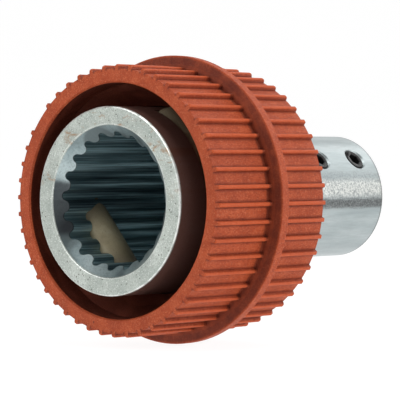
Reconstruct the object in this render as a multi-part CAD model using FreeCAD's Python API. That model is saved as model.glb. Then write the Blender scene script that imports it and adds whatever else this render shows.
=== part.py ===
import FreeCAD, Part
import math
import os

# Quick-release spline coupling for a power take-off shaft.
# Millimetres. X runs along the shaft axis from the open mouth (X = 0) back to the hub, +Z is up.
# The origin is on the axis, in the plane of the steel body's front face.
# Angles around the axis start at -Y and turn towards +Z.

V = FreeCAD.Vector
ORIGIN = V(0, 0, 0)
AXIS = V(1, 0, 0)

# ---- steel body ------------------------------------------------------------------------------
BODY_R = 30.16              # 2-3/8 in bar
MOUTH_R = 24.45             # lead-in cone where it meets the front face
LEAD_IN_DEG = 45.0          # lead-in cone, from the axis
FRONT_ROUND = 0.5           # outer edge of the front face
FRONT_INNER_ROUND = 0.3
BODY_SHOULDER_X = 51.2      # rear end of the full diameter, the sleeve's forward stop
GUIDE_R = 27.0              # middle diameter that carries the guide ring
GUIDE_END_X = 63.5
HUB_R = 21.0
HUB_END_X = 119.5
HUB_CHAMFER = 1.0
STEP_CHAMFER = 0.8

# ---- spline socket: 1-3/4 in, 20 teeth -------------------------------------------------------
TEETH = 20
TOOTH_TIP_R = 20.55
TOOTH_SHOULDER_R = 20.98    # where the round tip of a tooth runs into its flank
SPLINE_PITCH_R = 21.167     # 12 pitch: 20 teeth / 12 = 1.6667 in pitch diameter
SPLINE_FILLET_R = 21.75     # where the flank runs into the round bottom of the space
SPLINE_ROOT_R = 22.21       # shaft major radius 22.165 + 0.045
SPACE_PITCH_HALF = 1.66     # half the space between teeth, at the pitch circle
PRESSURE_ANGLE = 30.0
FIRST_TOOTH_DEG = 95.1
SPLINE_END_X = 59.0
SOCKET_END_X = 60.6
SOCKET_RELIEF_R = 22.7

# ---- shaft bore in the hub -------------------------------------------------------------------
BORE_R = 12.70              # 1 in shaft
BORE_CHAMFER = 0.8
KEYWAY_W = 6.35
KEYWAY_DEPTH = 2.87         # from the bore's wall to the keyway's floor
LINE_DEG = 39.4             # the line through both set screws and both lock pins
KEYWAY_DEG = LINE_DEG + 90.0

# ---- set screws, 5/16-18 ---------------------------------------------------------------------
SCREW_XS = (89.0, 109.0)
SCREW_R = 3.97
SCREW_LEN = 7.94
SCREW_FIT = 0.05
SCREW_TIP_ABOVE_BORE = 0.05
SCREW_SOCKET_AF = 3.97
SCREW_SOCKET_DEPTH = 3.6
SCREW_CHAMFER = 0.45
SCREW_POINT_R = 2.6
SCREW_CUP_DEPTH = 0.7
SCREW_CUP_RIM = 0.5
HOLE_CHAMFER = 0.45
HOLE_CHAMFER_RAISE = 0.18   # the chamfer is cut on a round hub, so it starts a little higher

# ---- lock pins -------------------------------------------------------------------------------
PIN_X = 18.3
PIN_R = 6.0
PIN_AXIS_D = 22.7           # pin centre line to the coupling's axis, locked
PIN_CORNER_PROUD = 2.22     # how far a pin's end corners stand above the body, where the cam bears
PIN_CHAMFER = 1.5
PIN_FIT = 0.06
PIN_END_GAP = 0.25
PIN_CAM_GAP = 0.10
PIN_HALF = math.sqrt((BODY_R + PIN_CORNER_PROUD) ** 2 - (PIN_AXIS_D + PIN_R) ** 2) + PIN_CHAMFER

# ---- release sleeve --------------------------------------------------------------------------
SLEEVE_FRONT_X = 3.3
SLEEVE_REAR_X = 56.9
MOUTH_GAP = 7.5             # open space around the body, seen from the front
SLEEVE_BORE_R = BODY_R + MOUTH_GAP
SPRING_BORE_STEP = 0.86
SPRING_BORE_R = SLEEVE_BORE_R - SPRING_BORE_STEP
SLEEVE_WALL = 4.44
VALLEY_R = SLEEVE_BORE_R + SLEEVE_WALL
RIB_HEIGHT = 1.4
RIB_TIP_R = VALLEY_R + RIB_HEIGHT
RIB_CROWN = 0.35            # rounding at the top of a rib
RIB_SHOULDER_R = RIB_TIP_R - RIB_CROWN
RIB_COUNT = 48
RIB_BASE_W = 1.70
RIB_TOP_W = 1.15
RIB_FIRST_DEG = -1.0
MISSING_FRONT_RIB = 19
RIB_END_ROUND = 0.8
FLANGE_X0 = 29.0
FLANGE_X1 = 33.9
FLANGE_HEIGHT = 3.5         # above the ribs
FLANGE_R = RIB_TIP_R + FLANGE_HEIGHT
FLANGE_ROUND = 0.4
FLANGE_DRAFT = 0.8          # each side slopes in by this much from foot to edge
RIM_ROUND = 0.5
REAR_ROUND = 0.6
CAM_SLOPE = 0.65            # radius lost per millimetre towards the hub
BEARING_FIT = 0.35          # front bearing of the sleeve on the body
WEB_REAR_X = 27.2

# ---- return spring, seat and rings -----------------------------------------------------------
FACE_GAP = 0.05
WIRE_R = 1.0
SPRING_GAP = 2.94           # inside of the coils to the body
SPRING_MEAN_R = BODY_R + SPRING_GAP + WIRE_R
SPRING_TURNS = 4.0
CLOSED_TURNS = 0.75         # flat turns at each end
CLOSED_PITCH = 2 * WIRE_R + 0.1
SEAT_X0 = 46.0
SEAT_T = 1.5
SEAT_OUTER_FIT = 0.5
SEAT_OUTER_R = SPRING_BORE_R - SEAT_OUTER_FIT
SEAT_FIT = 0.10
RING_GROOVE_FIT = 0.10
BODY_RING_T = 1.5
BODY_GROOVE_DEPTH = 1.46
BODY_GROOVE_R = BODY_R - BODY_GROOVE_DEPTH
BODY_RING_INNER_R = BODY_GROOVE_R + RING_GROOVE_FIT
BODY_RING_W = 3.1
BODY_RING_OUTER_R = BODY_RING_INNER_R + BODY_RING_W
GROOVE_SIDE_GAP = 0.06
GUIDE_RING_T = 2.8
GUIDE_FIT = 0.06
SLEEVE_RING_T = 1.4
SLEEVE_GROOVE_DEPTH = 1.64
SLEEVE_GROOVE_R = SLEEVE_BORE_R + SLEEVE_GROOVE_DEPTH
SLEEVE_RING_OUTER_R = SLEEVE_GROOVE_R - RING_GROOVE_FIT
SLEEVE_RING_W = 3.1
SLEEVE_RING_INNER_R = SLEEVE_RING_OUTER_R - SLEEVE_RING_W
LUG_R = 2.2
LUG_OFFSET = 0.8            # lug centre from the ring's free edge
LUG_HOLE_R = 0.95
RING_GAP_DEG = 16.0

OVER = 1.0                  # how far a cutting solid runs past what it cuts


def around(radius, degrees, x=0.0):
    """Point at a radius and an angle around the X axis."""
    a = math.radians(degrees)
    return V(x, -radius * math.cos(a), radius * math.sin(a))


def aimed(shape, degrees):
    """Turn a shape built about +Z so that it points to an angle around the axis."""
    turned = shape.copy()
    turned.rotate(ORIGIN, AXIS, 90.0 - degrees)
    return turned


def turned_solid(corners):
    """Revolve a closed (x, r, round) outline about X, rounding each corner that has a radius."""
    n = len(corners)
    edges = []
    starts = []
    ends = []
    for i in range(n):
        x, r, f = corners[i]
        p = V(x, r, 0)
        before = V(corners[i - 1][0], corners[i - 1][1], 0) - p
        after = V(corners[(i + 1) % n][0], corners[(i + 1) % n][1], 0) - p
        before.normalize()
        after.normalize()
        if f <= 0:
            starts.append(p)
            ends.append(p)
            continue
        half = before.getAngle(after) / 2.0
        reach = f / math.tan(half)
        a = p + before * reach
        b = p + after * reach
        inward = before + after
        inward.normalize()
        middle = p + inward * (f / math.sin(half) - f)
        starts.append(a)
        ends.append(b)
        edges.append(Part.Arc(a, middle, b).toShape())
    for i in range(n):
        a = ends[i]
        b = starts[(i + 1) % n]
        if a.distanceToPoint(b) > 1e-6:
            edges.append(Part.makeLine(a, b))
    wire = Part.Wire(Part.__sortEdges__(edges))
    return Part.Face(wire).revolve(ORIGIN, AXIS, 360)


def tube(x0, x1, inner, outer):
    ring = Part.makeCylinder(outer, x1 - x0, V(x0, 0, 0), AXIS)
    return ring.cut(Part.makeCylinder(inner, x1 - x0 + 2 * OVER, V(x0 - OVER, 0, 0), AXIS))


def prism(edges, x0, x1):
    wire = Part.Wire(Part.__sortEdges__(edges))
    solid = Part.Face(wire).extrude(V(x1 - x0, 0, 0))
    solid.translate(V(x0, 0, 0))
    return solid


# ---- spline socket ---------------------------------------------------------------------------
def half_space_deg(radius):
    """Half the angle that a space between teeth takes up, on its straight flanks."""
    flank = math.tan(math.radians(PRESSURE_ANGLE))
    half_width = SPACE_PITCH_HALF - (radius - SPLINE_PITCH_R) * flank
    return math.degrees(math.asin(half_width / radius))


def spline_socket(x0, x1):
    """The hollow inside the teeth: round-bottomed spaces, round-tipped teeth between them."""
    edges = []
    root_deg = half_space_deg(SPLINE_FILLET_R)
    mouth_deg = half_space_deg(TOOTH_SHOULDER_R)
    step = 360.0 / TEETH
    for k in range(TEETH):
        space = FIRST_TOOTH_DEG + (k + 0.5) * step
        a = around(TOOTH_SHOULDER_R, space - mouth_deg)
        b = around(SPLINE_FILLET_R, space - root_deg)
        c = around(SPLINE_ROOT_R, space)
        d = around(SPLINE_FILLET_R, space + root_deg)
        e = around(TOOTH_SHOULDER_R, space + mouth_deg)
        crest = around(TOOTH_TIP_R, space + step / 2.0)
        f = around(TOOTH_SHOULDER_R, space + step - mouth_deg)
        edges.append(Part.makeLine(a, b))
        edges.append(Part.Arc(b, c, d).toShape())
        edges.append(Part.makeLine(d, e))
        edges.append(Part.Arc(e, crest, f).toShape())
    return prism(edges, x0, x1)


# ---- steel body ------------------------------------------------------------------------------
def pin_pocket():
    """Pocket for a lock pin: round floor, straight sides, closed ends, open outwards (+Z)."""
    r = PIN_R + PIN_FIT
    half = PIN_HALF + PIN_END_GAP
    floor = Part.makeCylinder(r, 2 * half, V(PIN_X, -half, PIN_AXIS_D), V(0, 1, 0))
    sides = Part.makeBox(2 * r, 2 * half, BODY_R + OVER - PIN_AXIS_D,
                         V(PIN_X - r, -half, PIN_AXIS_D))
    return floor.fuse(sides).removeSplitter()


def screw_hole(x):
    r = SCREW_R + SCREW_FIT
    hole = Part.makeCylinder(r, HUB_R + OVER, V(x, 0, 0), V(0, 0, 1))
    edge_z = math.sqrt(HUB_R ** 2 - r ** 2)
    mouth = Part.makeCone(r, r + HOLE_CHAMFER + OVER, HOLE_CHAMFER + OVER,
                          V(x, 0, edge_z - HOLE_CHAMFER + HOLE_CHAMFER_RAISE), V(0, 0, 1))
    return hole.fuse(mouth)


def coupler_body():
    lead_end_x = (MOUTH_R - TOOTH_TIP_R) / math.tan(math.radians(LEAD_IN_DEG))
    blank = turned_solid([
        (0, MOUTH_R, FRONT_INNER_ROUND),
        (0, BODY_R, FRONT_ROUND),
        (BODY_SHOULDER_X, BODY_R, FRONT_ROUND),
        (BODY_SHOULDER_X, GUIDE_R, 0),
        (GUIDE_END_X - STEP_CHAMFER, GUIDE_R, 0),
        (GUIDE_END_X, GUIDE_R - STEP_CHAMFER, 0),
        (GUIDE_END_X, HUB_R, 0),
        (HUB_END_X - HUB_CHAMFER, HUB_R, 0),
        (HUB_END_X, HUB_R - HUB_CHAMFER, 0),
        (HUB_END_X, BORE_R + BORE_CHAMFER, 0),
        (HUB_END_X - BORE_CHAMFER, BORE_R, 0),
        (SOCKET_END_X, BORE_R, 0),
        (SOCKET_END_X, SOCKET_RELIEF_R, 0),
        (SPLINE_END_X, SOCKET_RELIEF_R, 0),
        (SPLINE_END_X, TOOTH_TIP_R - OVER, 0),
        (lead_end_x + OVER, TOOTH_TIP_R - OVER, 0),
    ])
    body = blank.cut(spline_socket(-OVER, (SPLINE_END_X + SOCKET_END_X) / 2.0))
    pocket = pin_pocket()
    for side in (0.0, 180.0):
        body = body.cut(aimed(pocket, LINE_DEG + side))
    for x in SCREW_XS:
        body = body.cut(aimed(screw_hole(x), LINE_DEG))
    key = Part.makeBox(HUB_END_X - SOCKET_END_X + 2 * OVER, KEYWAY_W, BORE_R + KEYWAY_DEPTH,
                       V(SOCKET_END_X - OVER, -KEYWAY_W / 2.0, 0))
    body = body.cut(aimed(key, KEYWAY_DEG))
    groove_x0 = SEAT_X0 + SEAT_T + FACE_GAP - GROOVE_SIDE_GAP
    groove_x1 = groove_x0 + BODY_RING_T + 2 * GROOVE_SIDE_GAP
    return body.cut(tube(groove_x0, groove_x1, BODY_GROOVE_R, BODY_R + OVER))


# ---- release sleeve --------------------------------------------------------------------------
def ribbed_prism(x0, x1, missing):
    """Grip section: low ribs along the axis, standing on the valley circle."""
    base_deg = math.degrees(math.asin(RIB_BASE_W / 2.0 / VALLEY_R))
    top_deg = math.degrees(math.asin(RIB_TOP_W / 2.0 / RIB_SHOULDER_R))
    step = 360.0 / RIB_COUNT
    kept = [k for k in range(RIB_COUNT) if k not in missing]
    edges = []
    for i, k in enumerate(kept):
        here = RIB_FIRST_DEG + k * step
        following = RIB_FIRST_DEG + kept[(i + 1) % len(kept)] * step
        if following < here:
            following += 360.0
        a = around(VALLEY_R, here - base_deg)
        b = around(RIB_SHOULDER_R, here - top_deg)
        crest = around(RIB_TIP_R, here)
        c = around(RIB_SHOULDER_R, here + top_deg)
        d = around(VALLEY_R, here + base_deg)
        valley = around(VALLEY_R, (here + following) / 2.0)
        e = around(VALLEY_R, following - base_deg)
        edges.append(Part.makeLine(a, b))
        edges.append(Part.Arc(b, crest, c).toShape())
        edges.append(Part.makeLine(c, d))
        edges.append(Part.Arc(d, valley, e).toShape())
    return prism(edges, x0, x1)


def cam_intercept():
    """Highest r + slope * x over a locked pin's ends, so the cam cone clears the pin by a set gap."""
    best = 0.0
    for i in range(91):
        a = math.radians(i)
        for run, r in ((PIN_HALF - PIN_CHAMFER, PIN_R), (PIN_HALF, PIN_R - PIN_CHAMFER)):
            reach = math.hypot(run, PIN_AXIS_D + r * math.cos(a))
            best = max(best, reach + CAM_SLOPE * (PIN_X + r * math.sin(a)))
    return best + PIN_CAM_GAP


def release_sleeve():
    flange_mid = (FLANGE_X0 + FLANGE_X1) / 2.0
    outer = ribbed_prism(SLEEVE_FRONT_X, flange_mid, (MISSING_FRONT_RIB,))
    outer = outer.fuse(ribbed_prism(flange_mid, SLEEVE_REAR_X, ()))
    envelope = turned_solid([
        (SLEEVE_FRONT_X, 0, 0),
        (SLEEVE_FRONT_X, RIB_TIP_R, RIB_END_ROUND),
        (SLEEVE_REAR_X, RIB_TIP_R, RIB_END_ROUND),
        (SLEEVE_REAR_X, 0, 0),
    ])
    outer = outer.common(envelope)
    flange = turned_solid([
        (FLANGE_X0, VALLEY_R - OVER, 0),
        (FLANGE_X0, VALLEY_R, 0),
        (FLANGE_X0 + FLANGE_DRAFT, FLANGE_R, FLANGE_ROUND),
        (FLANGE_X1 - FLANGE_DRAFT, FLANGE_R, FLANGE_ROUND),
        (FLANGE_X1, VALLEY_R, 0),
        (FLANGE_X1, VALLEY_R - OVER, 0),
    ])
    outer = outer.fuse(flange)
    k = cam_intercept()
    bearing_r = BODY_R + BEARING_FIT
    cam_front_x = (k - SLEEVE_BORE_R) / CAM_SLOPE
    cam_rear_x = (k - bearing_r) / CAM_SLOPE
    guide_x = BODY_SHOULDER_X + FACE_GAP
    groove_x0 = guide_x + GUIDE_RING_T + FACE_GAP - GROOVE_SIDE_GAP
    groove_x1 = groove_x0 + SLEEVE_RING_T + 2 * GROOVE_SIDE_GAP
    step_x = guide_x - FACE_GAP
    hollow = turned_solid([
        (SLEEVE_FRONT_X - OVER, 0, 0),
        (SLEEVE_FRONT_X - OVER, SLEEVE_BORE_R + RIM_ROUND + OVER, 0),
        (SLEEVE_FRONT_X + RIM_ROUND, SLEEVE_BORE_R, 0),
        (cam_front_x, SLEEVE_BORE_R, 0),
        (cam_rear_x, bearing_r, 0),
        (WEB_REAR_X, bearing_r, 0),
        (WEB_REAR_X, SPRING_BORE_R, 0),
        (step_x, SPRING_BORE_R, 0),
        (step_x, SLEEVE_BORE_R, 0),
        (groove_x0, SLEEVE_BORE_R, 0),
        (groove_x0, SLEEVE_GROOVE_R, 0),
        (groove_x1, SLEEVE_GROOVE_R, 0),
        (groove_x1, SLEEVE_BORE_R, 0),
        (SLEEVE_REAR_X - REAR_ROUND, SLEEVE_BORE_R, 0),
        (SLEEVE_REAR_X + OVER, SLEEVE_BORE_R + REAR_ROUND + OVER, 0),
        (SLEEVE_REAR_X + OVER, 0, 0),
    ])
    return outer.cut(hollow)


# ---- lock pins -------------------------------------------------------------------------------
def lock_pin():
    half = PIN_HALF
    pin = Part.makeCylinder(PIN_R, 2 * (half - PIN_CHAMFER),
                            V(PIN_X, -half + PIN_CHAMFER, PIN_AXIS_D), V(0, 1, 0))
    for side in (-1, 1):
        pin = pin.fuse(Part.makeCone(PIN_R, PIN_R - PIN_CHAMFER, PIN_CHAMFER,
                                     V(PIN_X, side * (half - PIN_CHAMFER), PIN_AXIS_D),
                                     V(0, side, 0)))
    return pin.removeSplitter()


# ---- return spring ---------------------------------------------------------------------------
def return_spring():
    """Round wire, closed end coils, open coils between."""
    x0 = WEB_REAR_X + FACE_GAP + WIRE_R
    x1 = SEAT_X0 - FACE_GAP - WIRE_R
    closed_rise = CLOSED_PITCH * CLOSED_TURNS
    open_rise = (x1 - x0) - 2 * closed_rise
    steps = int(SPRING_TURNS * 24)
    points = []
    for i in range(steps + 1):
        t = SPRING_TURNS * i / steps
        if t < CLOSED_TURNS:
            x = x0 + CLOSED_PITCH * t
        elif t > SPRING_TURNS - CLOSED_TURNS:
            x = x1 - CLOSED_PITCH * (SPRING_TURNS - t)
        else:
            open_share = (t - CLOSED_TURNS) / (SPRING_TURNS - 2 * CLOSED_TURNS)
            x = x0 + closed_rise + open_rise * open_share
        points.append(around(SPRING_MEAN_R, 360.0 * t, x))
    path = Part.BSplineCurve()
    path.interpolate(points)
    rail = Part.Wire(path.toShape())
    start = path.value(path.FirstParameter)
    direction = path.tangent(path.FirstParameter)[0]
    ring = Part.Wire(Part.makeCircle(WIRE_R, start, direction))
    return rail.makePipeShell([ring], True, True)


# ---- seat and rings --------------------------------------------------------------------------
def spring_seat_washer():
    return tube(SEAT_X0, SEAT_X0 + SEAT_T, BODY_R + SEAT_FIT, SEAT_OUTER_R)


def snap_ring(x0, thick, inner, outer, lug_at, degrees):
    """Retaining ring with a gap and two pierced lugs beside it."""
    ring = tube(x0, x0 + thick, inner, outer)
    half = math.radians(RING_GAP_DEG / 2.0)
    reach = outer + 2 * LUG_R + OVER
    wedge = Part.makePolygon([
        V(x0 - OVER, 0, 0),
        V(x0 - OVER, reach * math.sin(half), reach * math.cos(half)),
        V(x0 - OVER, -reach * math.sin(half), reach * math.cos(half)),
        V(x0 - OVER, 0, 0),
    ])
    gap = Part.Face(wedge).extrude(V(thick + 2 * OVER, 0, 0))
    lug_deg = RING_GAP_DEG / 2.0 + math.degrees(LUG_R / lug_at)
    for side in (-1, 1):
        ring = ring.fuse(Part.makeCylinder(LUG_R, thick, around(lug_at, 90 + side * lug_deg, x0),
                                           AXIS))
    ring = ring.cut(gap)
    for side in (-1, 1):
        ring = ring.cut(Part.makeCylinder(LUG_HOLE_R, thick + 2 * OVER,
                                          around(lug_at, 90 + side * lug_deg, x0 - OVER), AXIS))
    return aimed(ring.removeSplitter(), degrees)


def body_retaining_ring():
    return snap_ring(SEAT_X0 + SEAT_T + FACE_GAP, BODY_RING_T, BODY_RING_INNER_R,
                     BODY_RING_OUTER_R, BODY_RING_OUTER_R + LUG_OFFSET, 90.0)


def rear_guide_ring():
    x0 = BODY_SHOULDER_X + FACE_GAP
    return tube(x0, x0 + GUIDE_RING_T, GUIDE_R + GUIDE_FIT, SLEEVE_BORE_R - GUIDE_FIT)


def sleeve_retaining_ring():
    x0 = BODY_SHOULDER_X + FACE_GAP + GUIDE_RING_T + FACE_GAP
    return snap_ring(x0, SLEEVE_RING_T, SLEEVE_RING_INNER_R, SLEEVE_RING_OUTER_R,
                     SLEEVE_RING_INNER_R - LUG_OFFSET, 270.0)


# ---- set screws ------------------------------------------------------------------------------
def set_screw(x):
    z0 = BORE_R + SCREW_TIP_ABOVE_BORE
    z1 = z0 + SCREW_LEN
    point_h = SCREW_R - SCREW_POINT_R
    screw = Part.makeCylinder(SCREW_R, SCREW_LEN - point_h - SCREW_CHAMFER,
                              V(x, 0, z0 + point_h), V(0, 0, 1))
    screw = screw.fuse(Part.makeCone(SCREW_POINT_R, SCREW_R, point_h, V(x, 0, z0), V(0, 0, 1)))
    screw = screw.fuse(Part.makeCone(SCREW_R, SCREW_R - SCREW_CHAMFER, SCREW_CHAMFER,
                                     V(x, 0, z1 - SCREW_CHAMFER), V(0, 0, 1)))
    corner = SCREW_SOCKET_AF / math.sqrt(3.0)
    hexagon = [V(x + corner * math.cos(math.radians(60 * i)),
                 corner * math.sin(math.radians(60 * i)), z1 - SCREW_SOCKET_DEPTH)
               for i in range(7)]
    socket = Part.Face(Part.makePolygon(hexagon)).extrude(V(0, 0, SCREW_SOCKET_DEPTH + OVER))
    cup = Part.makeCone(SCREW_POINT_R - SCREW_CUP_RIM, 0, SCREW_CUP_DEPTH, V(x, 0, z0), V(0, 0, 1))
    return aimed(screw.removeSplitter().cut(socket).cut(cup), LINE_DEG)


# ---- build -----------------------------------------------------------------------------------
nodes = {
    "coupler_body": coupler_body(),
    "release_sleeve": release_sleeve(),
    "lock_pin_upper": aimed(lock_pin(), LINE_DEG),
    "lock_pin_lower": aimed(lock_pin(), LINE_DEG + 180.0),
    "return_spring": return_spring(),
    "spring_seat_washer": spring_seat_washer(),
    "body_retaining_ring": body_retaining_ring(),
    "rear_guide_ring": rear_guide_ring(),
    "sleeve_retaining_ring": sleeve_retaining_ring(),
    "set_screw_front": set_screw(SCREW_XS[0]),
    "set_screw_rear": set_screw(SCREW_XS[1]),
}

os.makedirs("parts", exist_ok=True)
for name, shape in nodes.items():
    if len(shape.Solids) != 1 or not shape.isValid():
        raise ValueError(name + " is not one valid solid")
    shape.Solids[0].exportStep("parts/" + name + ".step")
    print(name, round(shape.Volume, 1), [round(v, 2) for v in (
        shape.BoundBox.XMin, shape.BoundBox.XMax, shape.BoundBox.YMin,
        shape.BoundBox.YMax, shape.BoundBox.ZMin, shape.BoundBox.ZMax)])
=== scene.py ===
import bmesh
import bpy
import math
from mathutils import Matrix, Vector


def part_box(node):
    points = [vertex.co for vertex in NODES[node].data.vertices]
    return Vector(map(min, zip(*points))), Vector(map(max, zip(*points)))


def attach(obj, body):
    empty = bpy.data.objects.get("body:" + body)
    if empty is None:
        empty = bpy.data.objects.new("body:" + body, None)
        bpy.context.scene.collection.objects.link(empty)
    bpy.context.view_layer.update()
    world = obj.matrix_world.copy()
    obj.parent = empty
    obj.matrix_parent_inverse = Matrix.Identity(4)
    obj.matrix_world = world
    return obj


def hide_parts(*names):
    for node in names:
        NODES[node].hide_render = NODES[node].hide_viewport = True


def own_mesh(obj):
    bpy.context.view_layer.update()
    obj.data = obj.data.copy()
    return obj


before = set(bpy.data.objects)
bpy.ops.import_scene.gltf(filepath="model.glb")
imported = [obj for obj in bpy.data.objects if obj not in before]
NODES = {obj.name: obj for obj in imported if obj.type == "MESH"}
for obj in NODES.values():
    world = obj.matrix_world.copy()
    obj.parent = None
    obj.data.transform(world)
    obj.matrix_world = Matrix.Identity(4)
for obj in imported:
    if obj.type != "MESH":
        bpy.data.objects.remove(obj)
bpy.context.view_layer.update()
scene = bpy.context.scene

WORLD_LIGHT = 0.24
FLOOR_GLOW = 0.93           # the floor lights itself, so that it stays white


# ---- node helpers ----------------------------------------------------------------------------
class Mat:
    """Small builder for node materials."""

    def __init__(self, name):
        self.m = bpy.data.materials.new(name)
        self.m.use_nodes = True
        self.t = self.m.node_tree
        for n in list(self.t.nodes):
            self.t.nodes.remove(n)
        self.out = self.t.nodes.new("ShaderNodeOutputMaterial")
        self.b = self.t.nodes.new("ShaderNodeBsdfPrincipled")
        self.t.links.new(self.b.outputs[0], self.out.inputs[0])
        self.pos = self.t.nodes.new("ShaderNodeTexCoord").outputs["Object"]

    def put(self, socket, value):
        if value is None:
            return
        if isinstance(value, bpy.types.NodeSocket):
            self.t.links.new(value, socket)
        else:
            socket.default_value = value

    def math(self, op, a, b=None, c=None):
        n = self.t.nodes.new("ShaderNodeMath")
        n.operation = op
        self.put(n.inputs[0], a)
        self.put(n.inputs[1], b)
        self.put(n.inputs[2], c)
        return n.outputs[0]

    def vmath(self, op, a, b=None):
        n = self.t.nodes.new("ShaderNodeVectorMath")
        n.operation = op
        self.put(n.inputs[0], a)
        self.put(n.inputs[1], b)
        return n.outputs[0]

    def sep(self, v):
        n = self.t.nodes.new("ShaderNodeSeparateXYZ")
        self.put(n.inputs[0], v)
        return n.outputs

    def comb(self, x, y, z):
        n = self.t.nodes.new("ShaderNodeCombineXYZ")
        for s, v in zip(n.inputs, (x, y, z)):
            self.put(s, v)
        return n.outputs[0]

    def noise(self, v, scale, detail=4.0, rough=0.5, distort=0.0):
        n = self.t.nodes.new("ShaderNodeTexNoise")
        self.put(n.inputs["Vector"], v)
        self.put(n.inputs["Scale"], scale)
        self.put(n.inputs["Detail"], detail)
        self.put(n.inputs["Roughness"], rough)
        self.put(n.inputs["Distortion"], distort)
        return n.outputs["Fac"]

    def voronoi(self, v, scale):
        """Distance to the nearest of some scattered points."""
        n = self.t.nodes.new("ShaderNodeTexVoronoi")
        self.put(n.inputs["Vector"], v)
        self.put(n.inputs["Scale"], scale)
        return n.outputs["Distance"]

    def ramp(self, fac, *stops):
        """stops: (position, value or colour)"""
        n = self.t.nodes.new("ShaderNodeValToRGB")
        e = n.color_ramp.elements
        while len(e) < len(stops):
            e.new(0.5)
        for item, (p, c) in zip(e, stops):
            item.position = p
            if not isinstance(c, (tuple, list)):
                c = (c, c, c)
            item.color = (*c[:3], 1.0)
        self.put(n.inputs[0], fac)
        return n.outputs[0]

    def mix(self, fac, a, b):
        """Colour a where fac is 0, colour b where it is 1."""
        n = self.t.nodes.new("ShaderNodeMix")
        n.data_type = "RGBA"
        self.put(n.inputs[0], fac)
        for s, v in ((n.inputs[6], a), (n.inputs[7], b)):
            if isinstance(v, (tuple, list)):
                v = (*v[:3], 1.0)
            self.put(s, v)
        return n.outputs[2]

    def bump(self, height, strength, distance):
        n = self.t.nodes.new("ShaderNodeBump")
        n.inputs["Strength"].default_value = strength
        n.inputs["Distance"].default_value = distance
        self.put(n.inputs["Height"], height)
        return n.outputs[0]

    def set(self, **kw):
        names = {"color": "Base Color", "rough": "Roughness", "metal": "Metallic",
                 "normal": "Normal", "spec": "Specular IOR Level"}
        for k, v in kw.items():
            self.put(self.b.inputs[names[k]], v)
        return self.m

    def step(self, value, edge, soft, below=False):
        """1 above an edge and 0 under it, or the other way round, over a soft width."""
        n = self.t.nodes.new("ShaderNodeMapRange")
        n.interpolation_type = "SMOOTHSTEP"
        self.put(n.inputs["Value"], value)
        n.inputs["From Min"].default_value = edge - soft / 2.0
        n.inputs["From Max"].default_value = edge + soft / 2.0
        n.inputs["To Min"].default_value = 1.0 if below else 0.0
        n.inputs["To Max"].default_value = 0.0 if below else 1.0
        return n.outputs["Result"]

    def band(self, value, low, high, soft):
        """1 between two edges and 0 outside them."""
        return self.math("MULTIPLY", self.step(value, low, soft),
                         self.step(value, high, soft, True))

    def radius(self):
        """Distance from the shaft axis."""
        _, y, z = self.sep(self.pos)
        return self.math("SQRT", self.math("ADD", self.math("MULTIPLY", y, y),
                                           self.math("MULTIPLY", z, z)))


def use(name, mat):
    o = NODES[name]
    if not o.material_slots:
        o.data.materials.append(mat)
    for s in o.material_slots:
        s.material = mat


# ---- sizes that the looks follow, metres -----------------------------------------------------
MM = 0.001
HUB_END_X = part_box("coupler_body")[1][0]
sleeve_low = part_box("release_sleeve")[0]
wire_low, wire_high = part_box("return_spring")
BODY_R = 30.16 * MM
MOUTH_R = 24.45 * MM
SPLINE_R = 22.3 * MM
SOCKET_FLOOR_X = 60.6 * MM
SLEEVE_BORE_R = 37.66 * MM
RIB_TIP_R = 43.5 * MM
VALLEY_R = 42.1 * MM
FLANGE_R = 47.0 * MM
FLANGE_X = 29.4 * MM        # the flange's front face
RIB_COUNT = 48
RIB_FIRST_DEG = -1.0
LINE_DEG = 39.4             # the line through the set screws and the lock pins


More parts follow.
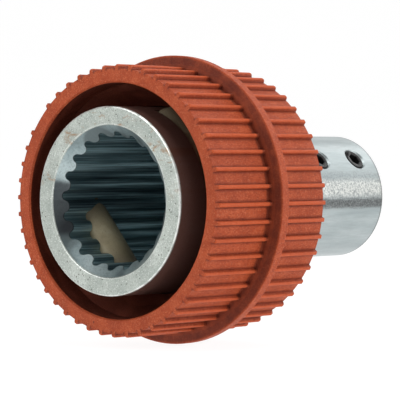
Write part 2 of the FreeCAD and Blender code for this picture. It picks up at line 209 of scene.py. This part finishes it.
# ---- materials -------------------------------------------------------------------------------
def orange_plastic():
    """Moulded nylon: fibre flecks, soft mottle, painted shade in the corners next to the ribs."""
    k = Mat("orange_nylon")
    x, y, z = k.sep(k.pos)
    r = k.radius()
    fibre = k.noise(k.pos, 2300.0, 4.0, 0.75)
    fleck = k.noise(k.vmath("MULTIPLY", k.pos, (900.0, 2600.0, 2600.0)), 1.0, 3.0, 0.7)
    mottle = k.noise(k.pos, 210.0, 6.0, 0.62)
    cloud = k.noise(k.pos, 38.0, 3.0, 0.5)
    base = k.ramp(mottle, (0.32, (0.315, 0.045, 0.012)), (0.50, (0.395, 0.062, 0.017)),
                  (0.68, (0.465, 0.086, 0.027)))
    base = k.mix(k.ramp(fibre, (0.52, 0.0), (0.64, 0.70)), base, (0.62, 0.180, 0.080))
    base = k.mix(k.ramp(fleck, (0.36, 0.80), (0.47, 0.0)), base, (0.22, 0.032, 0.010))
    specks = k.voronoi(k.pos, 75.0)
    base = k.mix(k.ramp(specks, (0.020, 0.85), (0.034, 0.0)), base, (0.035, 0.012, 0.009))
    base = k.mix(k.ramp(cloud, (0.35, 0.0), (0.65, 0.22)), base, (0.33, 0.060, 0.024))
    # distance in angle from the nearest rib, 0 on the rib and 0.5 half way to the next one
    turn = k.math("ARCTAN2", z, k.math("MULTIPLY", y, -1.0))
    ribs = k.math("MULTIPLY_ADD", turn, RIB_COUNT / (2.0 * math.pi),
                  RIB_COUNT * (1.0 - RIB_FIRST_DEG / 360.0))
    off = k.math("ABSOLUTE", k.math("SUBTRACT", k.math("FRACT", k.math("ADD", ribs, 0.5)), 0.5))
    # painted shade: a dark line on each side of every rib's foot, in the valleys
    rib_foot_shade = k.ramp(off, (0.10, 0.0), (0.155, 1.0), (0.20, 0.65), (0.30, 0.0))
    low = k.band(r, VALLEY_R - 0.6 * MM, VALLEY_R + 0.9 * MM, 0.3 * MM)
    base = k.mix(k.math("MULTIPLY", k.math("MULTIPLY", rib_foot_shade, low), 0.66), base,
                 (0.10, 0.012, 0.006))
    # rib crests painted lighter: partly wear, partly a painted highlight along each crest
    crest = k.math("MULTIPLY", k.step(r, RIB_TIP_R - 0.42 * MM, 0.15 * MM),
                   k.step(r, RIB_TIP_R + 0.8 * MM, 0.1 * MM, True))
    base = k.mix(k.math("MULTIPLY", crest, 0.50), base, (0.60, 0.105, 0.030))
    # painted shade on the flange's front face and the valley in front of it, thicker at its foot
    flange_face_shade = k.math("MULTIPLY", k.band(x, FLANGE_X - 1.6 * MM, FLANGE_X + 1.5 * MM, 0.9 * MM),
                    k.band(r, VALLEY_R - 0.6 * MM, FLANGE_R - 0.5 * MM, 1.0 * MM))
    base = k.mix(k.math("MULTIPLY", flange_face_shade, k.ramp(mottle, (0.35, 0.74), (0.65, 0.48))), base,
                 (0.085, 0.016, 0.010))
    # painted shade inside the sleeve's bore, with dark wavy smears in it
    inside = k.math("MULTIPLY", k.step(r, SLEEVE_BORE_R + 0.35 * MM, 0.2 * MM, True),
                    k.step(x, sleeve_low[0] + 0.7 * MM, 0.5 * MM))
    smear = k.noise(k.vmath("MULTIPLY", k.pos, (150.0, 45.0, 45.0)), 1.0, 3.0, 0.55, 1.2)
    bore_shade_and_smear = k.ramp(smear, (0.42, (0.024, 0.007, 0.006)), (0.56, (0.085, 0.024, 0.017)))
    base = k.mix(k.math("MULTIPLY", inside, 0.80), base, bore_shade_and_smear)
    height = k.math("ADD", k.math("MULTIPLY", fibre, 0.7), k.math("MULTIPLY", mottle, 0.8))
    return k.set(color=base, rough=k.ramp(fibre, (0.3, 0.66), (0.7, 0.50)), spec=0.22,
                 normal=k.bump(height, 0.75, 0.00030))


def zinc_steel():
    """Zinc plated steel: pitted bright face, bluish cone, dark splines, streaked satin hub."""
    k = Mat("zinc_steel")
    x, y, z = k.sep(k.pos)
    r = k.radius()
    turn = k.math("ARCTAN2", z, k.math("MULTIPLY", y, -1.0))
    grain = k.noise(k.pos, 1500.0, 4.0, 0.75)
    cloud = k.noise(k.pos, 110.0, 5.0, 0.62)
    pits = k.voronoi(k.pos, 620.0)
    # plated skin of the face and the hub
    face = k.ramp(cloud, (0.30, (0.37, 0.42, 0.385)), (0.52, (0.51, 0.555, 0.51)),
                  (0.70, (0.66, 0.71, 0.66)))
    face = k.mix(k.ramp(grain, (0.47, 0.0), (0.62, 0.60)), face, (0.30, 0.33, 0.30))
    face = k.mix(k.ramp(pits, (0.08, 0.85), (0.22, 0.0)), face, (0.10, 0.10, 0.08))
    sparkle = k.noise(k.pos, 2600.0, 2.0, 0.5)
    face = k.mix(k.ramp(sparkle, (0.60, 0.0), (0.68, 0.8)), face, (0.95, 0.97, 0.95))
    stain = k.noise(k.vmath("MULTIPLY", k.pos, (1.0, 95.0, 260.0)), 1.0, 5.0, 0.7, 0.6)
    stain = k.math("MULTIPLY", k.ramp(stain, (0.55, 0.0), (0.63, 0.85)),
                   k.step(z, 5.0 * MM, 14.0 * MM))
    face = k.mix(stain, face, (0.36, 0.24, 0.15))
    # painted highlights on the face's outer and inner edges, broken up along their length
    inner_rim = k.band(r, MOUTH_R - 0.12 * MM, MOUTH_R + 0.22 * MM, 0.12 * MM)
    rim_highlight = k.math("ADD", k.band(r, BODY_R - 0.42 * MM, BODY_R + 1.0 * MM, 0.15 * MM),
                  k.math("MULTIPLY", inner_rim, 0.45))
    rim_highlight = k.math("MULTIPLY", rim_highlight, k.step(x, 0.55 * MM, 0.2 * MM, True))
    highlight_breakup = k.ramp(k.noise(k.pos, 260.0, 3.0, 0.6), (0.38, 0.15), (0.58, 0.85))
    rim_highlight = k.math("MULTIPLY", rim_highlight, highlight_breakup)
    face = k.mix(rim_highlight, face, (0.93, 0.96, 0.93))
    # hub: streaks along the axis, each a few millimetres of arc wide
    along = k.comb(k.math("MULTIPLY", x, 14.0), k.math("MULTIPLY", turn, 2.2), 0.0)
    streak = k.noise(along, 2.2, 3.0, 0.5)
    fine = k.noise(k.comb(k.math("MULTIPLY", x, 170.0), k.math("MULTIPLY", turn, 34.0), 0.0),
                   1.0, 4.0, 0.7)
    hub = k.ramp(streak, (0.30, (0.33, 0.38, 0.39)), (0.50, (0.40, 0.455, 0.46)),
                 (0.68, (0.47, 0.52, 0.525)))
    hub = k.mix(k.ramp(fine, (0.40, 0.30), (0.58, 0.0)), hub, (0.30, 0.33, 0.335))
    # painted reflection along the hub's side: a bright grainy band over a dark one, with a dark
    # line
    place = k.math("ADD", turn, k.math("MULTIPLY_ADD", fine, 0.10, -0.05))
    reflection_band = k.band(place, -0.17, 0.44, 0.12)
    bright = k.band(place, 0.02, 0.28, 0.14)
    dark_line = k.band(place, -0.17, -0.02, 0.08)
    hub = k.mix(k.math("MULTIPLY", reflection_band, k.ramp(grain, (0.38, 0.55), (0.54, 0.05))), hub,
                (0.20, 0.205, 0.205))
    hub = k.mix(k.math("MULTIPLY", bright, k.ramp(grain, (0.40, 0.10), (0.58, 0.95))), hub,
                (0.84, 0.85, 0.81))
    hub = k.mix(k.math("MULTIPLY", dark_line, k.ramp(grain, (0.40, 1.0), (0.62, 0.60))), hub,
                (0.10, 0.105, 0.105))
    end_edge = k.step(x, HUB_END_X - 1.55 * MM, 0.3 * MM)
    hub = k.mix(k.math("MULTIPLY", end_edge, 0.75), hub, (0.15, 0.16, 0.16))
    on_hub = k.step(x, 45.0 * MM, 5.0 * MM)
    base = k.mix(on_hub, face, hub)
    # lead-in cone
    blotch = k.noise(k.pos, 75.0, 3.0, 0.5)
    cone = k.ramp(blotch, (0.38, (0.14, 0.175, 0.18)), (0.50, (0.31, 0.39, 0.40)),
                  (0.66, (0.47, 0.56, 0.565)))
    cone = k.mix(k.ramp(grain, (0.48, 0.0), (0.66, 0.40)), cone, (0.12, 0.15, 0.155))
    in_cone = k.math("MULTIPLY", k.step(r, MOUTH_R - 0.25 * MM, 0.2 * MM, True),
                     k.step(x, 0.30 * MM, 0.2 * MM))
    in_cone = k.math("MULTIPLY", in_cone,
                     k.step(x, SOCKET_FLOOR_X - 0.6 * MM, 0.5 * MM, True))
    # dark patch on the cone's far side, about level with the axis
    ragged_z = k.math("MULTIPLY_ADD", blotch, 4.0 * MM, z)
    far_side_patch = k.math("MULTIPLY", k.step(y, 13.0 * MM, 5.0 * MM),
                  k.band(ragged_z, -9.5 * MM, 8.5 * MM, 2.5 * MM))
    cone = k.mix(k.math("MULTIPLY", far_side_patch, 0.85), cone, (0.035, 0.036, 0.042))
    base = k.mix(in_cone, base, cone)
    # splines: painted shade, with drawing marks and broad painted highlights along the teeth
    draw_and_sheen = k.noise(k.comb(k.math("MULTIPLY", x, 30.0), k.math("MULTIPLY", y, 1900.0),
                          k.math("MULTIPLY", z, 1900.0)), 1.0, 4.0, 0.6)
    broad_sheen = k.noise(k.comb(k.math("MULTIPLY", x, 10.0), k.math("MULTIPLY", y, 260.0),
                           k.math("MULTIPLY", z, 420.0)), 1.0, 2.0, 0.5)
    draw_and_sheen = k.math("ADD", k.math("MULTIPLY", draw_and_sheen, 0.45), k.math("MULTIPLY", broad_sheen, 0.55))
    dark = k.ramp(draw_and_sheen, (0.38, (0.05, 0.08, 0.095)), (0.50, (0.21, 0.32, 0.35)),
                  (0.62, (0.62, 0.85, 0.90)))
    in_spline = k.math("MULTIPLY", k.step(r, SPLINE_R + 0.5 * MM, 0.2 * MM, True),
                       k.step(k.math("ADD", x, r), MOUTH_R + 0.35 * MM, 0.3 * MM))
    in_spline = k.math("MULTIPLY", in_spline,
                       k.step(x, SOCKET_FLOOR_X + 0.4 * MM, 0.5 * MM, True))
    # the socket's floor is turned, so its marks are rings
    turned = k.noise(k.comb(k.math("MULTIPLY", r, 1400.0), 0.0, 0.0), 1.0, 3.0, 0.6)
    floor = k.ramp(turned, (0.38, (0.075, 0.10, 0.11)), (0.62, (0.17, 0.215, 0.23)))
    floor = k.mix(k.ramp(grain, (0.48, 0.0), (0.66, 0.40)), floor, (0.07, 0.09, 0.10))
    dark = k.mix(k.step(x, SOCKET_FLOOR_X - 0.25 * MM, 0.3 * MM), dark, floor)
    base = k.mix(in_spline, base, dark)
    # outside of the body under the sleeve: painted shade, dark red-brown
    under = k.math("MULTIPLY", k.step(r, BODY_R - 0.35 * MM, 0.15 * MM),
                   k.band(x, 0.75 * MM, 50.0 * MM, 0.5 * MM))
    base = k.mix(k.math("MULTIPLY", under, 0.95), base, (0.100, 0.034, 0.024))
    rough = k.math("MULTIPLY_ADD", grain, 0.22, 0.28)
    rough = k.math("ADD", rough, k.math("MULTIPLY", in_spline, 0.06))
    height = k.math("ADD", k.math("MULTIPLY", fine, k.math("MULTIPLY", on_hub, 0.5)),
                    k.math("MULTIPLY", grain, 0.7))
    height = k.math("ADD", height, k.math("MULTIPLY", cloud, 0.8))
    metal = k.math("MULTIPLY_ADD", under, -0.72, 0.82)
    return k.set(color=base, metal=metal, rough=rough, normal=k.bump(height, 0.30, 0.00012))


def tan_pin():
    """Matt tan coating, mottled, with painted shade darkening both ends of each pin."""
    k = Mat("tan_pin")
    grain = k.noise(k.pos, 1300.0, 4.0, 0.7)
    cloud = k.noise(k.pos, 160.0, 4.0, 0.6)
    base = k.ramp(cloud, (0.32, (0.27, 0.225, 0.135)), (0.55, (0.36, 0.31, 0.20)),
                  (0.72, (0.43, 0.385, 0.27)))
    base = k.mix(k.ramp(grain, (0.52, 0.0), (0.66, 0.45)), base, (0.20, 0.155, 0.09))
    # painted shade towards the pins' ends
    line = math.radians(LINE_DEG)
    _, y, z = k.sep(k.pos)
    along = k.math("ADD", k.math("MULTIPLY", y, math.sin(line)),
                   k.math("MULTIPLY", z, math.cos(line)))
    ragged = k.math("MULTIPLY_ADD", cloud, 4.0 * MM, k.math("ABSOLUTE", along))
    end = k.step(ragged, 9.0 * MM, 9.0 * MM)
    base = k.mix(k.math("MULTIPLY", end, 0.62), base, (0.085, 0.060, 0.038))
    return k.set(color=base, metal=0.15, rough=k.ramp(grain, (0.3, 0.58), (0.7, 0.44)),
                 spec=0.35, normal=k.bump(grain, 0.25, 0.0001))


def worked_metal(name, dark, light, metal, rough, spin, scale=900.0):
    """Small steel parts: spin draws turning rings about the axis, or none at 0."""
    k = Mat(name)
    r = k.radius()
    x = k.sep(k.pos)[0]
    grain = k.noise(k.pos, scale, 4.0, 0.7)
    cloud = k.noise(k.pos, 130.0, 4.0, 0.6)
    rings = k.noise(k.comb(k.math("MULTIPLY", r, spin), k.math("MULTIPLY", x, spin), 0.0),
                    1.0, 3.0, 0.6)
    base = k.mix(k.ramp(cloud, (0.32, 0.0), (0.70, 1.0)), dark, light)
    base = k.mix(k.ramp(rings, (0.40, 0.45), (0.60, 0.0)), base, dark)
    base = k.mix(k.ramp(grain, (0.52, 0.0), (0.68, 0.40)), base, dark)
    height = k.math("ADD", k.math("MULTIPLY", rings, 0.8), k.math("MULTIPLY", grain, 0.5))
    return k.set(color=base, metal=metal, rough=k.ramp(grain, (0.3, rough), (0.7, rough + 0.14)),
                 normal=k.bump(height, 0.22, 0.0001))


MAT_ORANGE = orange_plastic()
MAT_ZINC = zinc_steel()
MAT_PIN = tan_pin()
MAT_SPRING = worked_metal("spring_steel", (0.07, 0.07, 0.075), (0.17, 0.17, 0.18), 0.9, 0.30,
                          spin=0.0)
MAT_WASHER = worked_metal("washer_steel", (0.34, 0.36, 0.36), (0.55, 0.58, 0.58), 0.9, 0.30,
                          spin=2400.0)
MAT_GUIDE = worked_metal("guide_steel", (0.30, 0.33, 0.33), (0.52, 0.56, 0.56), 0.85, 0.30,
                         spin=3000.0)
MAT_RING = worked_metal("dark_ring", (0.012, 0.012, 0.013), (0.045, 0.045, 0.048), 0.5, 0.36,
                        spin=0.0)
MAT_SCREW = worked_metal("black_screw", (0.006, 0.006, 0.006), (0.022, 0.021, 0.021), 0.5, 0.34,
                         spin=0.0, scale=1600.0)

use("coupler_body", MAT_ZINC)
use("release_sleeve", MAT_ORANGE)
use("lock_pin_upper", MAT_PIN)
use("lock_pin_lower", MAT_PIN)
use("return_spring", MAT_SPRING)
use("spring_seat_washer", MAT_WASHER)
use("body_retaining_ring", MAT_RING)
use("rear_guide_ring", MAT_GUIDE)
use("sleeve_retaining_ring", MAT_RING)
use("set_screw_front", MAT_SCREW)
use("set_screw_rear", MAT_SCREW)


# ---- mesh helpers ----------------------------------------------------------------------------
def grid_mesh(name, rows, material):
    """Closed tube through rows of points, each row a ring of the same length, capped."""
    n = len(rows[0])
    verts = [tuple(p) for row in rows for p in row]
    faces = []
    for i in range(len(rows) - 1):
        for j in range(n):
            m = (j + 1) % n
            faces.append((i * n + j, i * n + m, (i + 1) * n + m, (i + 1) * n + j))
    faces.append(tuple(reversed(range(n))))
    faces.append(tuple((len(rows) - 1) * n + j for j in range(n)))
    mesh = bpy.data.meshes.new(name)
    mesh.from_pydata(verts, [], faces)
    work = bmesh.new()
    work.from_mesh(mesh)
    bmesh.ops.recalc_face_normals(work, faces=work.faces)
    work.to_mesh(mesh)
    work.free()
    for poly in mesh.polygons:
        poly.use_smooth = True
    mesh.materials.append(material)
    piece = bpy.data.objects.new(name, mesh)
    scene.collection.objects.link(piece)
    return piece


def around(radius, degrees, x):
    a = math.radians(degrees)
    return Vector((x, -radius * math.cos(a), radius * math.sin(a)))


# ---- return spring ---------------------------------------------------------------------------
def return_spring():
    """Round wire coil with flat closed end turns, seated between the sleeve's web and the seat.
    """
    wire = 1.0 * MM         # radius of the wire
    mean = 34.1 * MM        # radius of the coil's centre line
    turns = 4.0
    flat = 0.75             # flat turns at each end, and their pitch
    pitch = 2.1 * MM
    steps_per_turn = 60
    cut_taper_deg = 3.0
    cut_thinning = 0.20
    sides = 16
    x0 = wire_low[0] + wire
    x1 = wire_high[0] - wire
    open_rise = (x1 - x0) - 2 * pitch * flat
    steps = int(turns * steps_per_turn)
    rows = []
    for i in range(steps + 1):
        t = turns * i / steps
        if t < flat:
            x = x0 + pitch * t
        elif t > turns - flat:
            x = x1 - pitch * (turns - t)
        else:
            x = x0 + pitch * flat + open_rise * (t - flat) / (turns - 2 * flat)
        # the last few degrees taper, as a cut wire end does
        end = min(t, turns - t) * 360.0
        thick = wire * (1.0 - cut_thinning + cut_thinning * min(1.0, end / cut_taper_deg))
        row = []
        for j in range(sides):
            a = 2 * math.pi * j / sides
            row.append(around(mean + thick * math.cos(a), 360.0 * t, x + thick * math.sin(a)))
        rows.append(row)
    return grid_mesh("return_spring_coil", rows, MAT_SPRING)


coil = return_spring()
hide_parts("return_spring")
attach(coil, "body")
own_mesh(coil)


# ---- set screws ------------------------------------------------------------------------------
def set_screw(name, node, body):
    """5/16-18 cup point screw: rolled thread, rounded crests, chamfered ends, hexagon socket."""
    low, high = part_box(node)
    x_mid = (low[0] + high[0]) / 2.0
    radius = (high[0] - low[0]) / 2.0 - 0.01 * MM
    length = 7.94 * MM
    bottom = 12.75 * MM     # cup point, measured from the shaft axis
    top = bottom + length
    pitch = 1.411 * MM
    depth = 0.62 * MM
    point_in = 1.37 * MM    # the cup point's rim is this much inside the thread
    across_flats = 3.97 * MM
    socket_depth = 3.6 * MM
    chamfer = 0.45 * MM
    sides = 96
    up = around(1.0, LINE_DEG, 0.0)
    side = Vector((1, 0, 0)).cross(up)

    def ring(radii, z):
        out = []
        for j in range(sides):
            a = 2 * math.pi * j / sides
            rr = radii(a) if callable(radii) else radii
            flat = Vector((x_mid, 0, 0)) + Vector((1, 0, 0)) * (rr * math.cos(a))
            out.append(flat + side * (rr * math.sin(a)) + up * z)
        return out

    def thread(z):
        limit = min(radius, radius - chamfer + (top - z), radius - point_in + (z - bottom))

        def at(a):
            phase = (z / pitch - a / (2 * math.pi)) % 1.0
            wave = 0.5 + 0.5 * math.cos(2 * math.pi * phase)
            return min(limit, radius - depth * wave ** 1.4)
        return at

    def hexagon(a):
        sector = (a + math.pi / 6) % (math.pi / 3) - math.pi / 6
        return across_flats / 2.0 / math.cos(sector)

    rows = [ring(0.15 * MM, bottom + 0.7 * MM), ring(2.1 * MM, bottom + 0.02 * MM),
            ring(2.35 * MM, bottom)]
    steps = 66              # rows along the thread, about 12 to a turn
    for i in range(steps + 1):
        z = bottom + 0.02 * MM + (length - 0.04 * MM) * i / steps
        rows.append(ring(thread(z), z))
    rows.append(ring(radius - chamfer - 0.12 * MM, top))
    rows.append(ring(lambda a: hexagon(a) + 0.16 * MM, top))
    rows.append(ring(lambda a: hexagon(a) + 0.02 * MM, top - 0.14 * MM))
    rows.append(ring(hexagon, top - 0.3 * MM))
    rows.append(ring(hexagon, top - socket_depth))
    rows.append(ring(0.3 * MM, top - socket_depth - 0.6 * MM))
    piece = grid_mesh(name, rows, MAT_SCREW)
    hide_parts(node)
    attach(piece, body)
    return piece


set_screw("set_screw_front_threaded", "set_screw_front", "screw_front")
set_screw("set_screw_rear_threaded", "set_screw_rear", "screw_rear")


# ---- floor, light, camera --------------------------------------------------------------------
LOOK = Vector((0.76292, 0.64618, -0.02016)).normalized()
RIGHT = Vector((0.64631, -0.76308, 0)).normalized()


def backdrop():
    """Pale floor that sweeps up behind the object, square to the camera's look direction."""
    floor_z = sleeve_low[2] - 0.2 * MM
    near = -6.0
    far = 3.0
    bend = 1.5
    wall_top = 6.0
    half_width = 6.0
    bend_steps = 12
    outline = [(near, floor_z), (far, floor_z)]
    for i in range(1, bend_steps + 1):
        a = math.radians(90.0 * i / bend_steps)
        outline.append((far + bend * math.sin(a), floor_z + bend * (1 - math.cos(a))))
    outline.append((far + bend, wall_top))
    along = Vector((LOOK.x, LOOK.y, 0)).normalized()
    verts = []
    for run, height in outline:
        for wide in (-half_width, half_width):
            p = along * run + RIGHT * wide
            verts.append((p.x, p.y, height))
    faces = [(2 * i, 2 * i + 1, 2 * i + 3, 2 * i + 2) for i in range(len(outline) - 1)]
    mesh = bpy.data.meshes.new("studio_floor")
    mesh.from_pydata(verts, [], faces)
    for poly in mesh.polygons:
        poly.use_smooth = True
    floor = bpy.data.objects.new("studio_floor", mesh)
    scene.collection.objects.link(floor)
    k = Mat("floor_white")
    n = k.noise(k.pos, 3.0, 2.0, 0.5)
    k.set(color=k.ramp(n, (0.0, (0.14, 0.14, 0.14)), (1.0, (0.16, 0.16, 0.16))), rough=0.9,
          spec=0.0)
    k.b.inputs["Emission Color"].default_value = (1, 1, 1, 1)
    k.b.inputs["Emission Strength"].default_value = FLOOR_GLOW
    mesh.materials.append(k.m)


backdrop()

world = bpy.data.worlds.new("studio")
scene.world = world
world.use_nodes = True
sky = world.node_tree.nodes["Background"]
sky.inputs[0].default_value = (1, 1, 1, 1)
sky.inputs[1].default_value = WORLD_LIGHT
scene.view_settings.view_transform = "Standard"
scene.view_settings.look = "None"


def area(name, at, target, size, power):
    light = bpy.data.lights.new(name, "AREA")
    light.energy = power
    light.size = size
    lamp = bpy.data.objects.new(name, light)
    scene.collection.objects.link(lamp)
    lamp.location = at
    lamp.rotation_euler = (Vector(target) - Vector(at)).to_track_quat("-Z", "Y").to_euler()


MIDDLE = (0.04, 0, 0)       # where the lights point
HUB_MIDDLE = (0.09, 0, 0)
area("left_box", (-0.75, 0.30, 0.42), MIDDLE, 0.55, 3.9)
area("right_box", (0.42, -0.95, 0.34), MIDDLE, 0.60, 5.8)
area("top_box", (0.00, -0.20, 1.05), MIDDLE, 0.60, 5.2)
area("back_box", (0.95, -0.20, 0.62), HUB_MIDDLE, 0.80, 2.4)

SCALE = 60.325 / 44.45      # the camera was placed for a body of 44.45 mm, now 60.325 mm
cam_data = bpy.data.cameras.new("camera")
cam = bpy.data.objects.new("camera", cam_data)
scene.collection.objects.link(cam)
cam.location = (-0.41745 * SCALE, -0.38171 * SCALE, 0.01170 * SCALE)
up = RIGHT.cross(LOOK).normalized()
cam.rotation_euler = Matrix((RIGHT, up, -LOOK)).transposed().to_euler()
cam_data.sensor_width = 36.0
cam_data.lens = 218.25
cam_data.clip_start = 0.01
cam_data.clip_end = 50.0
scene.camera = cam
